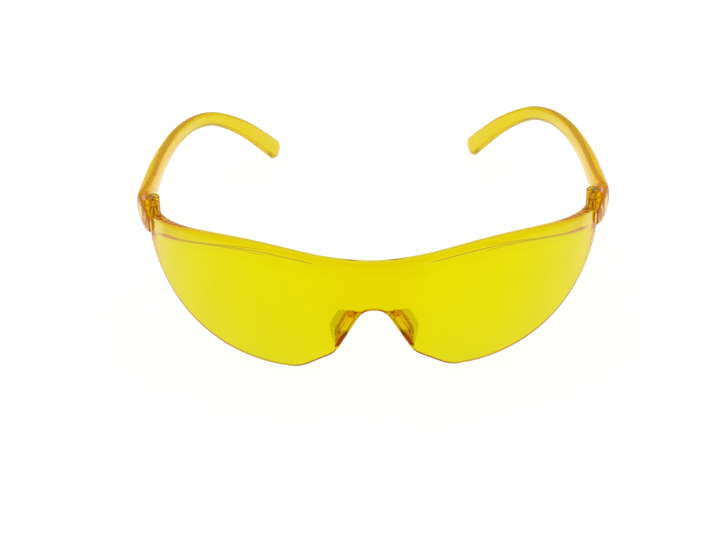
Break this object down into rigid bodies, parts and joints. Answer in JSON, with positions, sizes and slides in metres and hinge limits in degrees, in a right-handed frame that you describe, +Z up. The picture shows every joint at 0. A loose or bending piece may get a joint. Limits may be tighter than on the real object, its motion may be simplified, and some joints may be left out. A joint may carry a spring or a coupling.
{
  "type": "safety glasses",
  "caption": "Wraparound safety glasses: one-piece amber polycarbonate shield with moulded brow, nose flanges and hinge lugs, and folding temples on steel hinge screws.",
  "frame": {"origin": "middle of the footprint on the surface that the open glasses stand on", "axes": "+X towards the wearer's left, +Y from the lens back to the ears, +Z up; the glasses stand on the lens's two lowest edges and both temple tips"},
  "size_m": [0.1456, 0.164, 0.0386],
  "materials": {
    "shield": "clear amber tinted polycarbonate, polished",
    "temples": "clear amber tinted polycarbonate, polished",
    "screws": "turned steel, slotted cheese head"
  },
  "bodies": {
    "front": {"lens_shield": "shield", "hinge_screw_left": "screws", "hinge_screw_right": "screws"},
    "temple_left": {"temple_left": "temples"},
    "temple_right": {"temple_right": "temples"}
  },
  "joints": [
    {"name": "fold_left", "type": "hinge", "parent": "front", "child": "temple_left", "pos_m": [0.0672, -0.03445, 0.0306], "axis": [0, 0, 1], "range_deg": [0, 88]},
    {"name": "fold_right", "type": "hinge", "parent": "front", "child": "temple_right", "pos_m": [-0.0672, -0.03445, 0.0306], "axis": [0, 0, -1], "range_deg": [0, 78]}
  ]
}
